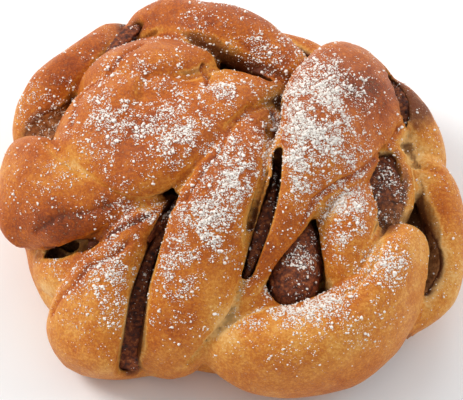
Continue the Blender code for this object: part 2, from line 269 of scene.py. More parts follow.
def round_sections(rows, grown):
    run = unit(np.gradient(rows[:, :3], axis=0))
    across = unit(np.cross(run, (1.0, 0.0, 0.0)))
    up = np.cross(run, across)
    angle = np.arange(SECTION_SIDES) * math.tau / SECTION_SIDES
    radius = rows[:, 3, None, None] / 2 + grown
    turn = across[:, None] * np.sin(angle)[:, None] + up[:, None] * np.cos(angle)[:, None]
    return rows[:, None, :3] + radius * turn


# %% [markdown]
# ## From sections to one skin
# Where two folds touch in the oven they bake together, so the skin has to run from one to the next without
# a gap. A voxel remesh does that: it fuses all closed tubes and drops what lies inside. A boolean union
# would keep a knife-sharp seam at every contact, which no baked dough has.

# %% Lofting and fusing
def lofted(mesh, sections):
    """Adds a closed tube through the sections, given in millimetres, to a bmesh."""
    rings = [[mesh.verts.new(Vector(point) * MM) for point in section] for section in sections]
    sides = len(rings[0])
    for ring, after in zip(rings, rings[1:]):
        for i in range(sides):
            j = (i + 1) % sides
            mesh.faces.new((ring[i], after[i], after[j], ring[j]))
    mesh.faces.new(rings[0])
    mesh.faces.new(list(reversed(rings[-1])))


def new_object(name, mesh):
    bmesh.ops.recalc_face_normals(mesh, faces=mesh.faces)
    data = bpy.data.meshes.new(name)
    mesh.to_mesh(data)
    mesh.free()
    obj = bpy.data.objects.new(name, data)
    bpy.context.scene.collection.objects.link(obj)
    return obj


def apply_modifiers(obj):
    graph = bpy.context.evaluated_depsgraph_get()
    data = bpy.data.meshes.new_from_object(obj.evaluated_get(graph))
    obj.modifiers.clear()
    obj.data = data


def remesh(obj, voxel, smoothing):
    """Fuses an object's closed shapes into one skin of even quads, then smooths it."""
    fuse = obj.modifiers.new("fuse", "REMESH")
    fuse.mode = "VOXEL"
    fuse.voxel_size = voxel * MM
    if smoothing:
        soften = obj.modifiers.new("soften", "SMOOTH")
        soften.factor = 0.5
        soften.iterations = smoothing
    apply_modifiers(obj)


def keep_largest_piece(obj):
    """Drops inner shells and loose scraps: everything but the piece with the most corners."""
    edges = np.empty(len(obj.data.edges) * 2, np.int32)
    obj.data.edges.foreach_get("vertices", edges)
    edges = edges.reshape(-1, 2)
    label = np.arange(len(obj.data.vertices))
    while True:
        low = np.minimum(label[edges[:, 0]], label[edges[:, 1]])
        before = label.copy()
        np.minimum.at(label, edges[:, 0], low)
        np.minimum.at(label, edges[:, 1], low)
        label = label[label]
        if (label == before).all():
            break
    names, counts = np.unique(label, return_counts=True)
    drop = np.flatnonzero(label != names[counts.argmax()])
    mesh = bmesh.new()
    mesh.from_mesh(obj.data)
    mesh.verts.ensure_lookup_table()
    bmesh.ops.delete(mesh, geom=[mesh.verts[i] for i in drop], context="VERTS")
    mesh.to_mesh(obj.data)
    mesh.free()


def cut(obj, cutter, solver):
    boolean = obj.modifiers.new("cut", "BOOLEAN")
    boolean.operation = "DIFFERENCE"
    boolean.solver = solver
    boolean.object = cutter
    apply_modifiers(obj)
    bpy.data.objects.remove(cutter)


# %% [markdown]
# ## The dough
# All folds are lofted, fused and then opened along the folded edges, in the gaps between strips and round
# the rolled end. A second remesh after the cuts rounds their lips, as crust curls at a cut edge.

# %% Dough skin
# Centres and half sizes of lumps where folds have baked together, in millimetres
BAKED_TOGETHER = (
    ((0, 1, 11), (46, 42, 18)),  # the middle of the bun
    ((-22, 20, 40), (10, 7, 6)),  # between the two lobes at the top left
    ((-18, 11, 41), (15, 9, 7.3)),  # the seam that runs on from there
    ((11, -3, 37), (4, 14, 6.5)),  # where the two crossing strips meet
    ((-16, 33, 32.5), (13, 6, 7)),  # between the lobe behind and the arch
    ((5.5, -16, 32), (4, 7, 6)),  # low on the right flank of the front strip
    ((8, -36, 21.5), (7, 6, 6)),  # under the tail of the broad strip
)
GROOVE_GAP = 0.5  # air on each side of the filling
GROOVE_OPEN = 3.0  # how far the groove's cutter stands out of the strip
MOUTH_SHOWS = 2.9  # the folded edges of the strip show where they gape at least this wide
# Filling that lies open between two strips: how far the gap is cut clear above it, and then points like
# the route's
FILLED_GAPS = (
    # between the fan and the front strip
    (12.0, (
        (-12, -12.5, 34, 4, 4, -20, 1.5),
        (-15.5, -18.5, 31, 4, 4, -20, 2.0),
        (-20, -26, 24, 6, 6, -30, 3.0),
        (-22.5, -33, 18, 8, 6, -35, 5.0),
        (-24, -39, 11, 8, 6, -35, 6.0),
        (-24.5, -43, 6, 8, 6, -35, 6.0),
    )),
    # between the two crossing strips
    (12.0, (
        (11.6, -5, 37, 4, 4, 20, 0.5),
        (11.2, -11, 36.5, 5, 5, 20, 1.2),
        (9.8, -16.5, 35, 6, 5, 20, 3.2),
        (8.0, -22, 32.5, 6, 5, 20, 3.8),
        (5.8, -28, 29, 5, 5, 20, 2.0),
        (4.4, -31.5, 27, 3, 3, 20, 0.6),
    )),
    # between the left back roll and the arch
    (4.0, (
        (-31, 34.5, 30, 6, 6, 75, 1.5),
        (-28.5, 38, 31, 6, 6, 75, 3.5),
        (-26, 41.5, 31, 6, 6, 75, 3.5),
        (-23.5, 44.5, 30, 6, 6, 75, 1.5),
    )),
    # on the side of the cinnamon sided lobe
    (4.0, (
        (36.5, 3, 25, 12, 14, 70, 11.0),
        (37.8, -5, 24.5, 12, 14, 70, 14.0),
        (38.3, -11, 22.5, 12, 12, 75, 11.0),
        (37.8, -16, 20, 11, 8, 80, 6.5),
        (37, -21, 18, 10, 6, 80, 3.0),
    )),
)
# Gaps between two folds with nothing in them, in the same form
BARE_GAPS = (
    # under the arch over the back
    (12.0, (
        (-5, 29, 31, 6, 6, 75, 1.0),
        (-1, 28, 30, 6, 6, 75, 2.6),
        (6, 26, 29, 6, 6, 75, 4.8),
        (11, 22.5, 28, 6, 6, 75, 5.8),
        (14.5, 18.5, 28, 6, 6, 75, 4.6),
        (15.5, 15.5, 29, 4, 4, 75, 1.5),
    )),
)
# The strip's rolled end, all cinnamon, that stands in the hole: x, y, z and thickness
NUB = (
    (18.5, -17.5, 31, 5),
    (17.5, -22.5, 29.5, 10),
    (16.5, -28, 27, 13),
    (16, -33, 23.5, 11.5),
    (16, -36, 21, 6),
)
NUB_GAP = 1.3  # air round the rolled end
DOUGH_VOXEL = 0.7
CUTTER_VOXEL = 0.6


def open_stretches(path):
    """The parts of the strip whose folded edges gape, each as rows of its own."""
    gapes = np.concatenate([[False], path[:, 6] >= MOUTH_SHOWS, [False]])
    starts = np.flatnonzero(gapes[1:] & ~gapes[:-1])
    ends = np.flatnonzero(~gapes[1:] & gapes[:-1])
    return [path[max(0, start - 2) : end + 2] for start, end in zip(starts, ends)]


def groove_cutter(path):
    mesh = bmesh.new()
    for stretch in open_stretches(path):
        lofted(mesh, filling_sections(stretch, GROOVE_GAP, GROOVE_OPEN))
    for clear, points in FILLED_GAPS:
        lofted(mesh, filling_sections(smooth_path(points), GROOVE_GAP, clear))
    for clear, points in BARE_GAPS:
        lofted(mesh, filling_sections(smooth_path(points), 0.0, clear))
    lofted(mesh, round_sections(smooth_path(NUB), NUB_GAP))
    cutter = new_object("groove", mesh)
    remesh(cutter, CUTTER_VOXEL, 1)
    return cutter


def foot_slab():
    mesh = bmesh.new()
    made = bmesh.ops.create_cube(mesh, size=0.2)
    bmesh.ops.translate(mesh, vec=(0, 0, -0.1), verts=made["verts"])
    return new_object("foot_slab", mesh)


mesh = bmesh.new()
lofted(mesh, dough_sections(strip))
for centre, half_sizes in BAKED_TOGETHER:
    lump = bmesh.ops.create_icosphere(mesh, subdivisions=5, radius=1.0)["verts"]
    bmesh.ops.scale(mesh, vec=[s * MM for s in half_sizes], verts=lump)
    bmesh.ops.translate(mesh, vec=[c * MM for c in centre], verts=lump)
dough = new_object("crust_skin", mesh)
remesh(dough, DOUGH_VOXEL, 1)
keep_largest_piece(dough)
cut(dough, groove_cutter(strip), "MANIFOLD")
cut(dough, foot_slab(), "MANIFOLD")
remesh(dough, DOUGH_VOXEL, 2)
keep_largest_piece(dough)


def corners(obj):
    co = np.empty(len(obj.data.vertices) * 3)
    obj.data.vertices.foreach_get("co", co)
    return co.reshape(-1, 3)


def set_corners(obj, co):
    obj.data.vertices.foreach_set("co", np.ascontiguousarray(co, float).ravel())
    obj.data.update()


def corner_normals(obj):
    out = np.empty(len(obj.data.vertices) * 3)
    obj.data.vertices.foreach_get("normal", out)
    return out.reshape(-1, 3)


def neighbours(obj):
    edges = np.empty(len(obj.data.edges) * 2, np.int32)
    obj.data.edges.foreach_get("vertices", edges)
    return edges.reshape(-1, 2)


def spread(edges, values, times):
    """Each corner's value averaged with its neighbours', so many times."""
    degree = np.bincount(edges.ravel(), minlength=len(values)).astype(float)
    for _ in range(times):
        total = np.zeros_like(values)
        for axis in range(values.shape[1]):
            total[:, axis] = np.bincount(edges[:, 0], values[edges[:, 1], axis], len(values))
            total[:, axis] += np.bincount(edges[:, 1], values[edges[:, 0], axis], len(values))
        values = 0.5 * values + 0.5 * total / degree[:, None]
    return values


CREASE_DEPTH = 1.6  # a hollow sinks by this many times its own depth, measured against its surroundings
CREASE_REACH = 14  # how many corners away its surroundings lie
DEEPEST = 0.5  # millimetres of a hollow's own depth that count
FOOT_EDGE = 1.5  # millimetres above the floor that stay as they are, so that the foot stays flat
points = corners(dough)
hollow = ((points - spread(neighbours(dough), points, CREASE_REACH)) * corner_normals(dough)).sum(1)
deepen = np.clip(hollow, -DEEPEST * MM, 0.0) * CREASE_DEPTH * (points[:, 2] > FOOT_EDGE * MM)
set_corners(dough, points + corner_normals(dough) * deepen[:, None])
print("dough skin", len(dough.data.polygons), "quads")

# %% [markdown]
# ## The filling
# Butter, sugar and cinnamon bake into a dark, sandy paste. It gets its own mesh through the same folds, a
# finer remesh, and lumps pushed out along its normals, because the grains are big enough to cast shadows.

# %% Filling skin
FILLING_VOXEL = 0.5
FILLING_RECESS = 0.9  # millimetres that the paste lies back from the folded edges
mesh = bmesh.new()
for stretch in open_stretches(strip):
    lofted(mesh, filling_sections(stretch, 0.0, -FILLING_RECESS))
for _, points in FILLED_GAPS:
    lofted(mesh, filling_sections(smooth_path(points), 0.0, 0.0))
lofted(mesh, round_sections(smooth_path(NUB), 0.0))
filling = new_object("cinnamon_paste", mesh)
remesh(filling, FILLING_VOXEL, 1)
cut(filling, foot_slab(), "MANIFOLD")
print("filling skin", len(filling.data.polygons), "faces")

# %% [markdown]
# ## Standing it in the solid's place
# The plain solid was moved so that its box stands over the origin. The same shift is measured from the two
# boxes and given to both skins, so that nothing moves when one stands for the other.

# %% Common shift
low = corners(dough).min(0)
high = corners(dough).max(0)
shift = np.array([
    (dough_low[0] + dough_high[0]) / 2 - (low[0] + high[0]) / 2,
    (dough_low[1] + dough_high[1]) / 2 - (low[1] + high[1]) / 2,
    0.0,
])
for piece in (dough, filling):
    set_corners(piece, corners(piece) + shift)
print("shift in mm", (shift / MM).round(2), "size in mm", ((high - low) / MM).round(1))

# %% [markdown]
# ## Crisp seams
# Where one fold was laid over another, the crust meets in a sharp line, painted darker as shade in the
# crease.
# The remesh rounds such lines, so they are pressed in again: a run of points is laid over the bun, each is
# snapped to the skin, and the corners near it sink along their normals in a narrow V.

# %% Seams
# Each seam's half width and depth in millimetres, how much painted shade darkens it (negative: paler,
# less baked dough), and its points
SEAMS = (
    # between the left loop's underside and the fan
    (1.5, 1.3, 0.7, (
        (-46, -20, 23), (-41, -19, 25), (-35, -21, 28), (-31, -23, 34), (-26, -22, 37), (-20, -20, 39),
    )),
    # the fan's upper left edge
    (1.4, 1.1, 0.45, (
        (-25, -26, 36), (-29, -29, 34), (-35, -30, 31), (-39, -33, 26), (-42, -33, 23), (-44, -35, 19),
    )),
    # between the top left lobe and the left loop
    (1.4, 1.2, -0.25, (
        (-46, 2, 39), (-44, -2, 40), (-41, -5, 41), (-36, -9, 41), (-28, -15, 41), (-20, -18, 39),
    )),
    # between that lobe and the front strip
    (1.3, 1.1, 0.3, ((-19, -19, 39), (-11, -20, 46), (-7, -14, 48), (-3, -8, 49), (0, 1, 48), (5, 8, 46))),
    # between the front strip and the front right roll
    (1.1, 1.3, -0.3, ((3, -34, 31), (0, -40, 26), (-5, -45, 23), (-10, -48, 16))),
    # below the broad strip
    (1.3, 1.2, 0.35, (
        (42, 11, 34), (39, 4, 34), (32, -7, 40), (27, -12, 42), (20, -17, 41), (17, -23, 38),
    )),
    # its left edge
    (1.2, 1.5, 0.9, ((11, 11, 42), (11, 4, 43), (11, -4, 43), (11, -9, 43))),
    # between the small strip and the front right roll
    (1.3, 1.0, -0.2, ((36, -25, 34), (35, -30, 34), (31, -35, 32), (27, -38, 31))),
    # between the right shoulder and the cinnamon sided lobe
    (1.3, 1.1, 0.3, ((40, 2, 31), (46, 4, 27), (52, 2, 27))),
    # round the left of the lobe behind
    (1.3, 1.0, 0.35, (
        (-23, 28, 46), (-27, 25, 46), (-29, 21, 46), (-33, 17, 45),
        (-37, 15, 43), (-39, 12, 42), (-40, 4, 43),
    )),
    # the notch in the top left lobe
    (1.2, 1.6, 0.9, ((-7, 22, 45), (-6, 18, 45), (-6, 13, 48))),
    # a fold line on the left loop
    (1.6, 0.8, 0.25, ((-49, -19, 30), (-42, -17, 35), (-36, -18, 37), (-30, -17, 39))),
)
SEAM_STEP = 0.5  # millimetres between two dots of a seam
SEAM_V = 1.3  # above 1 the flanks of the V curve in to a sharper line
# the painted shade and paleness of a seam fade at this share of its half width
SEAM_TINT = 0.75  # the dark of a seam fades at this share of its half width
FAR = 9.0  # millimetres, for corners near no seam


def seam_points(points, step):
    """Points a step apart along the straight runs between the given ones."""
    found = []
    for start, end in zip(points, points[1:]):
        start, end = np.array(start, float), np.array(end, float)
        count = max(1, round(float(np.linalg.norm(end - start)) / step))
        found += [start + (end - start) * t / count for t in range(count)]
    return found + [np.array(points[-1], float)]


points = corners(dough)
press = np.zeros(len(points))
seam_shade_and_pale = np.zeros(len(points))
skin_tree = BVHTree.FromObject(dough, bpy.context.evaluated_depsgraph_get())
for half_width, depth, shade_and_pale, line in SEAMS:
    dots = [skin_tree.find_nearest(Vector(p) * MM)[0] for p in seam_points(line, SEAM_STEP)]
    near = np.full(len(points), FAR)
    for dot in np.array(dots):
        close = np.flatnonzero((abs(points - dot) < 2 * half_width * MM).all(1))
        near[close] = np.minimum(near[close], np.linalg.norm(points[close] - dot, axis=1) / MM)
    press = np.maximum(press, depth * np.clip(1 - near / half_width, 0, 1) ** SEAM_V)
    # painted shade along the seam's crease line; negative values paint it paler, as less baked dough
    shade_and_pale_tint = shade_and_pale * np.exp(-((near / (SEAM_TINT * half_width)) ** 2))
    seam_shade_and_pale = np.where(abs(shade_and_pale_tint) > abs(seam_shade_and_pale), shade_and_pale_tint, seam_shade_and_pale)
set_corners(dough, points - corner_normals(dough) * (press * MM)[:, None])
print("seams pressed in", int((press > 0).sum()), "corners")

# %% [markdown]
# ## Reading the surface
# Colour and relief follow the dough's own shape: the crown of each fold browns, its flanks stay pale, and
# what lies deep in a crease is hardly baked. So each corner of the mesh learns which stretch of the strip
# it lies on, how far round the section it is, and how much of the sky it sees.

# %% Place on the strip and shelter
AT_A_TIME = 4000  # points worked on together, so that the tables fit in memory
RUN_REACH = 5.0  # millimetres along the strip that count as far as half a width across it
RAYS = 18  # rays sent out from each corner
RAY_REACH = 0.011  # metres within which a fold shelters a place
RAY_LIFT = 0.0004  # metres that a ray starts above the skin
RAY_SPREAD = 1.02  # just above 1, so that every ray leaves the skin


def place_on_strip(points, path):
    """For each point, in millimetres: its row of the strip, and where it lies across and up the section."""
    run, out, side = frames(path)
    row = np.empty(len(points), int)
    across = np.empty(len(points))
    up = np.empty(len(points))
    for first in range(0, len(points), AT_A_TIME):
        some = points[first : first + AT_A_TIME, None] - path[None, :, :3]
        a = (some * side).sum(2) / (path[:, 3] / 2)
        u = (some * out).sum(2) / (path[:, 4] / 2)
        r = (some * run).sum(2) / RUN_REACH
        best = (a * a + u * u + r * r).argmin(1)
        pick = np.arange(len(best))
        row[first : first + AT_A_TIME] = best
        across[first : first + AT_A_TIME] = a[pick, best]
        up[first : first + AT_A_TIME] = u[pick, best]
    return row, across, up


def shelter(tree, points, normals):
    """Share of the sky over each point that a fold near by blocks."""
    ways = [Vector(way) for way in unit(np.random.default_rng(5).normal(size=(RAYS, 3)))]
    blocked = np.zeros(len(points))
    for i, (point, normal) in enumerate(zip(points, normals)):
        upright = Vector(normal)
        start = Vector(point) + upright * RAY_LIFT
        hits = 0
        for way in ways:
            ray = way + upright * RAY_SPREAD
            ray.normalize()
            hits += tree.ray_cast(start, ray, RAY_REACH)[0] is not None
        blocked[i] = hits / RAYS
    return blocked


row, across, up = place_on_strip((corners(dough) - shift) / MM, strip)
along = np.concatenate([[0.0], np.linalg.norm(np.diff(strip[:, :3], axis=0), axis=1).cumsum()])
print("rows used", len(np.unique(row)), "of", len(strip))

# %% [markdown]
# ## Relief of baked dough
# A baked skin is never quite smooth: it swells in broad lumps, it stretches into fine lines along the
# strip, and small blisters break the surface. Broad lumps and stretch lines are moved into the mesh, so
# that they show in the outline and cast shade. Blisters and pores are too fine for it and are left to bump.

# %% Lumps and stretch lines
LUMP = 0.45  # millimetres that a broad lump stands out
LUMP_SIZES = (11.0, 5.0)  # millimetres across, broad and half as strong
STRETCH = 0.16  # millimetres that a stretch line stands out
LINE_LONG, LINE_WIDE = 9.0, 1.9  # millimetres along and across the strip
FLAT_BELOW, FREE_ABOVE = 1.5, 7.0  # millimetres above the floor between which the relief sets in


def lattice(seed):
    return np.random.default_rng(seed).uniform(-1.0, 1.0, (64, 64, 64))


def soft_noise(points, grid):
    """Smooth value noise of points, one unit between two knots of the grid."""
    base = np.floor(points).astype(int)
    part = points - base
    part = part * part * (3 - 2 * part)
    total = np.zeros(len(points))
    size = np.array(grid.shape)
    for corner in range(8):
        offset = np.array((corner & 1, corner >> 1 & 1, corner >> 2 & 1))
        knot = (base + offset) % size
        weight = np.where(offset, part, 1 - part).prod(1)
        total += weight * grid[knot[:, 0], knot[:, 1], knot[:, 2]]
    return total


def smoothstep(value, low, high):
    t = np.clip((value - low) / (high - low), 0.0, 1.0)
    return t * t * (3 - 2 * t)


points = corners(dough)
normals = corner_normals(dough)
first_tree = BVHTree.FromObject(dough, bpy.context.evaluated_depsgraph_get())
sheltered = shelter(first_tree, points, normals)
place = np.stack([along[row] / LINE_LONG, across * strip[row, 3] / 2 / LINE_WIDE, up * 3.0], 1)
broad, small = LUMP_SIZES
lumps = soft_noise(points / MM / broad, lattice(3)) + 0.5 * soft_noise(points / MM / small, lattice(4))
lines = soft_noise(place, lattice(5)) + 0.5 * soft_noise(place * (1.6, 2.3, 1.0), lattice(6))
open_skin = 1 - smoothstep(sheltered, 0.35, 0.7)
flat_foot = smoothstep(points[:, 2] / MM, FLAT_BELOW, FREE_ABOVE)
move = (LUMP * lumps + STRETCH * lines * (0.4 + smoothstep(sheltered, 0.0, 0.35))) * open_skin * flat_foot
set_corners(dough, points + normals * (move * MM)[:, None])
print("relief moved the skin by", round(float(abs(move).max()), 2), "mm at most")

# %% [markdown]
# The paste gets coarser lumps: grains of sugar and cinnamon, about one millimetre across.

# %% Grains in the filling
GRAIN = 0.42  # millimetres that a grain stands out
GRAIN_WIDE, CLUSTER_WIDE = 1.1, 2.6  # millimetres across a grain and a cluster of them
GRAIN_LEVEL = 0.3  # grains below this height sink in
points = corners(filling)
normals = corner_normals(filling)
grains = abs(soft_noise(points / MM / GRAIN_WIDE, lattice(8)))
grains = grains + 0.6 * soft_noise(points / MM / CLUSTER_WIDE, lattice(9))
set_corners(filling, points + normals * (GRAIN * (grains - GRAIN_LEVEL) * MM)[:, None])
print("filling grains", round(float(abs(grains).max()), 2))

# %% [markdown]
# ## What each corner of the skin carries
# The materials read values that are kept on the meshes: how sheltered a place is and how near the cinnamon
# is, worked out from the shape, with patches where cinnamon ran further, and for the paste how thin it lies.

# %% Values on the skin
def keep_value(obj, name, values):
    held = obj.data.attributes.new(name, "FLOAT", "POINT")
    held.data.foreach_set("value", np.ascontiguousarray(values, np.float32))


def distance_to(obj, points, reach):
    tree = BVHTree.FromObject(obj, bpy.context.evaluated_depsgraph_get())
    found = np.full(len(points), reach)
    for i, point in enumerate(points):
        hit = tree.find_nearest(Vector(point), reach)
        if hit[0] is not None:
            found[i] = hit[3]
    return found


# Patches where cinnamon sugar has run over the dough: x, y, z of the middle, the size along x, y and z, and
# how strong it is
STAINED_PATCHES = (
    # the right shoulder, and below the cinnamon sided lobe
    (46, 19, 31, 7, 6, 6, 1.3),
    (38.5, -22, 30, 3, 5, 4, 0.9),
    (39.5, -17, 29, 3, 5, 4, 0.9),
    (41, 24, 33, 4, 4, 3, 0.8),
    # the left back roll's cut end, and the right flank
    (-49, 23, 24, 4, 5, 4, 0.6),
    (47, -14, 22, 4, 8, 6, 0.45),
    # down the fan's right edge
    (-18, -22, 34, 2.5, 4, 4, 0.7),
    (-21, -28, 29, 2.5, 5, 5, 0.75),
    (-23.5, -36, 21, 2.5, 6, 6, 0.75),
    # along the broad strip's left edge, in the dip beside the fan, and at the hole
    (14, -16, 40, 3, 5, 3, 0.35),
    (10, -24, 35, 2.5, 5, 3, 0.4),
    (-14, -13, 36, 5, 5, 4, 0.55),
    (17, -22, 33, 5, 4, 4, 0.5),
    (45, 0, 27, 3, 5, 5, 0.4),
)
# The same, where the filling is thin and lets the lighter crumb show
THIN_PATCHES = (
    (46, -20, 22, 9, 10, 9, 0.9),
    (-48, 23, 24, 8, 8, 8, 0.55),
)


def patches(points, table, base):
    """Sum of soft patches at points in millimetres."""
    total = np.full(len(points), float(base))
    for *place, sx, sy, sz, much in table:
        total += much * np.exp(-(((points - np.array(place)) / (sx, sy, sz)) ** 2).sum(1))
    return total


keep_value(filling, "thin", patches(corners(filling) / MM, THIN_PATCHES, 0.0))
points = corners(dough)
normals = corner_normals(dough)
near_filling = 1 - distance_to(filling, points, 3 * MM) / (3 * MM)
sheltered = shelter(BVHTree.FromObject(dough, bpy.context.evaluated_depsgraph_get()), points, normals)
near_filling = np.maximum(near_filling, patches(points / MM, STAINED_PATCHES, 0.0))
keep_value(dough, "shelter", sheltered)
keep_value(dough, "cinnamon_near", near_filling)
for piece in (dough, filling):
    piece.data.shade_smooth()
print("shelter from", round(float(sheltered.min()), 2), "to", round(float(sheltered.max()), 2))

# %% [markdown]
# ## How far each place has baked, with painted shade
# An oven browns what stands out and spares what is tucked away, and the top heat is never even. A degree
# of baking, from 0 for pale crumb to 1 for dark brown, is built up from a middle value, from how high and
# how far up its fold a place is, and from patches put where this bun is darker or paler than its shape
# alone would make it. Painted shade is added to the same value: the dark of the seams, and patches that
# darken the gap under the arch, the lower edge of the left loop and the bottom of the front.

# %% Degree of baking, with painted shade
# x, y, z of a patch's middle, its size along x, y and z in millimetres, and how much darker or paler it is
BAKED_AND_SHADE_PATCHES = (
    # painted shade: the lower edge of the left loop, where shade falls; darker baking: its middle
    (-42, -18, 30, 13, 7, 7, 0.30),
    (-30, -18, 31, 10, 5, 6, 0.28),
    (-54, -14, 24, 7, 8, 9, 0.22),
    (-30, -13, 38, 12, 6, 7, 0.14),
    # darker: left back roll, top left lobe, arch
    (-42, 31, 30, 14, 12, 10, 0.12),
    (-20, -2, 50, 16, 10, 8, 0.12),
    (-6, 36, 38, 22, 12, 10, 0.12),
    # painted shade: the gap under the arch, darkened nearly to black as it lies in shadow
    (5, 26, 36, 9, 3.5, 5, 0.85),
    (12, 20.5, 34, 4, 3.5, 4.5, 0.85),
    # darker: broad strip and its tail
    (25, 12, 48, 14, 16, 10, 0.12),
    (37, 20, 40, 9, 10, 10, 0.22),
    (8, -31, 34, 7, 7, 6, 0.12),
    # painted shade: low on the front, where less light from above reaches; and a spot on the right flank
    (-14, -45, 22, 10, 10, 12, 0.08),
    (16, -54, 14, 26, 7, 9, 0.12),
    (53, -5, 25, 6, 8, 6, 0.10),
    # paler: right shoulder and flank
    (48, 9, 27, 10, 12, 10, -0.24),
    (54, -19, 18, 6, 10, 9, -0.32),
    (44, -22, 28, 5, 8, 8, -0.25),
    # paler: front right roll and the small strip
    (16, -47, 28, 18, 6, 7, -0.16),
    (40, -28, 33, 7, 9, 6, -0.18),
    (30, -32, 31, 8, 8, 7, -0.16),
    # paler: fan, and right edge of the front strip
    (-31, -37, 27, 15, 11, 12, -0.12),
    (-3, -40, 31, 5, 8, 8, -0.14),
    (-1, -45, 22, 5, 6, 11, -0.26),
    # paler: low left edge of the top left lobe, and the notch beside it
    (-38, -5, 41, 7, 9, 7, -0.26),
    (-5, 17, 45, 5, 6, 5, -0.20),
    (-43, -26, 15, 9, 9, 8, -0.22),
)
MIDDLE_BAKED = 0.5
CROWN_DARKER, FLANK_PALER = 0.10, 0.08
TOP_DARKER, FOOT_PALER = 0.08, 0.04
FOOT_BELOW, TOP_ABOVE = 18.0, 44.0  # millimetres above the floor
UNEVEN, UNEVEN_SIZE = 0.10, 14.0  # how uneven the heat was, in clouds so many millimetres wide
MOTTLED, MOTTLED_SIZE = 0.05, 5.0  # the same for small clouds
CREASE_PALER = 0.30
# a seam's dark is painted shade in the crease; its paleness is less baked dough
SEAM_SHARE = 0.6  # how much of a seam's own dark counts

at = points / MM
# the patches include painted shade: the gap under the arch, the lower edge of the left loop, low on the front
baked_and_shade = patches(at, BAKED_AND_SHADE_PATCHES, MIDDLE_BAKED)
baked_and_shade += CROWN_DARKER * smoothstep(normals[:, 2], 0.2, 0.95) - FLANK_PALER
baked_and_shade += TOP_DARKER * smoothstep(at[:, 2], FOOT_BELOW, TOP_ABOVE) - FOOT_PALER
clouds = UNEVEN * soft_noise(at / UNEVEN_SIZE, lattice(31))
baked_and_shade += clouds + MOTTLED * soft_noise(at / MOTTLED_SIZE, lattice(32))
baked_and_shade -= CREASE_PALER * smoothstep(sheltered, 0.16, 0.45)
# painted shade along the seams' crease lines, and paleness where seams stayed less baked
baked_and_shade += SEAM_SHARE * seam_shade_and_pale
keep_value(dough, "baked_and_shade", baked_and_shade)
print("baked from", round(float(baked_and_shade.min()), 2), "to", round(float(baked_and_shade.max()), 2))

# %% [markdown]
# ## Icing sugar
# The sugar was shaken from a sieve, so it falls straight down: thick on the two crossing strips, thin on
# the lobes beside them, and none where another fold hangs over. Each grain is rough, with a form of its own,
# at its true size of a tenth to one millimetre across. All grains of one kind are joined in one mesh.

# %% Where the sugar fell
# x, y, z of a patch's middle, its size along x, y and z in millimetres, and how thick the sugar lies
SUGAR_PATCHES = (
    # broad crossing strip
    (20, 0, 49, 12, 14, 9, 1.15),
    (17, -12, 46, 8, 9, 8, 1.2),
    (31, -7, 43, 8, 9, 7, 0.55),
    (25, 15, 48, 13, 9, 8, 0.45),
    # front crossing strip
    (-1, -16, 48, 7, 10, 8, 1.3),
    (-6, -27, 43, 8, 9, 8, 1.4),
    (-10, -34, 37, 8, 7, 8, 0.8),
    (-12, -41, 28, 8, 6, 7, 0.22),
    # top left lobes
    (-12, -6, 51, 9, 7, 6, 0.8),
    (-20, 0, 50, 17, 13, 9, 0.42),
    (-30, 5, 48, 9, 8, 7, 0.6),
    (-25, 17, 47, 12, 6, 6, 0.3),
    (0, 11, 48, 7, 5, 5, 0.55),
    (-14, -13, 35, 6, 5, 6, 0.9),
    # left loop, fan and what lies between them
    (-28, -15, 39, 8, 6, 6, 0.4),
    (-42, -12, 38, 14, 9, 8, 0.16),
    (-40, -26, 24, 9, 6, 6, 0.3),
    (-22, -25, 37, 6, 6, 6, 0.7),
    (-27, -33, 31, 7, 8, 7, 0.65),
    (-33, -38, 27, 9, 9, 8, 0.3),
    # left back roll
    (-47, 22, 26, 7, 5, 6, 0.75),
    (-47, 28, 29, 9, 8, 7, 0.3),
    # round the hole
    (17, -27, 34, 5, 6, 6, 0.45),
    (7, -33, 22, 6, 5, 8, 0.9),
    (16, -41, 28, 12, 5, 6, 0.8),
    (25, -39, 30, 9, 5, 5, 0.5),
    (38, -30, 33, 6, 6, 5, 0.6),
    (16, -49, 27, 18, 6, 8, 0.12),
    (34, -46, 26, 9, 7, 8, 0.2),
    # small strip and the lobe with the cinnamon side
    (28, -17, 38, 6, 8, 6, 0.9),
    (28, -25, 37, 6, 5, 5, 0.6),
    (38, -3, 31, 6, 9, 7, 0.22),
    (38, -13, 28, 5, 6, 6, 0.15),
    # arch
    (8, 30, 40, 9, 6, 6, 0.4),
    (-6, 37, 40, 16, 9, 8, 0.1),
)
SUGAR_EVERYWHERE = 0.025
# How many grains of each kind are shaken out; those that land under another fold are dropped
CLUMPS = 8000
CRUMBS = 22000
SPECKS = 22000
STEEPEST = 0.1  # how far up a slope must face for sugar to stay on it; 1 is level
SKY_LIFT = 0.0007  # metres above the skin from which a grain has to see open sky
DUST_LIMIT = 0.85  # the most dust that the colour shows
ROUGHEST = (0.55, 1.3)  # how far a grain's corners lie in and out
SLIMMEST = (0.6, 1.4)  # how slim or wide a grain is, next to its size
LYING = (1.0, 1.0, 0.75)  # grains lie flat
RAISED = 0.35  # how much of its size a grain's middle lies above the skin


def sugar_thickness(points):
    thick = np.full(len(points), SUGAR_EVERYWHERE)
    for *place, sx, sy, sz, much in SUGAR_PATCHES:
        gap = (((points - np.array(place)) / (sx, sy, sz)) ** 2).sum(1)
        thick = np.maximum(thick, much * np.exp(-gap))
    return thick


def triangles_of(obj):
    obj.data.calc_loop_triangles()
    found = np.empty(len(obj.data.loop_triangles) * 3, np.int32)
    obj.data.loop_triangles.foreach_get("vertices", found)
    return corners(obj)[found.reshape(-1, 3)]


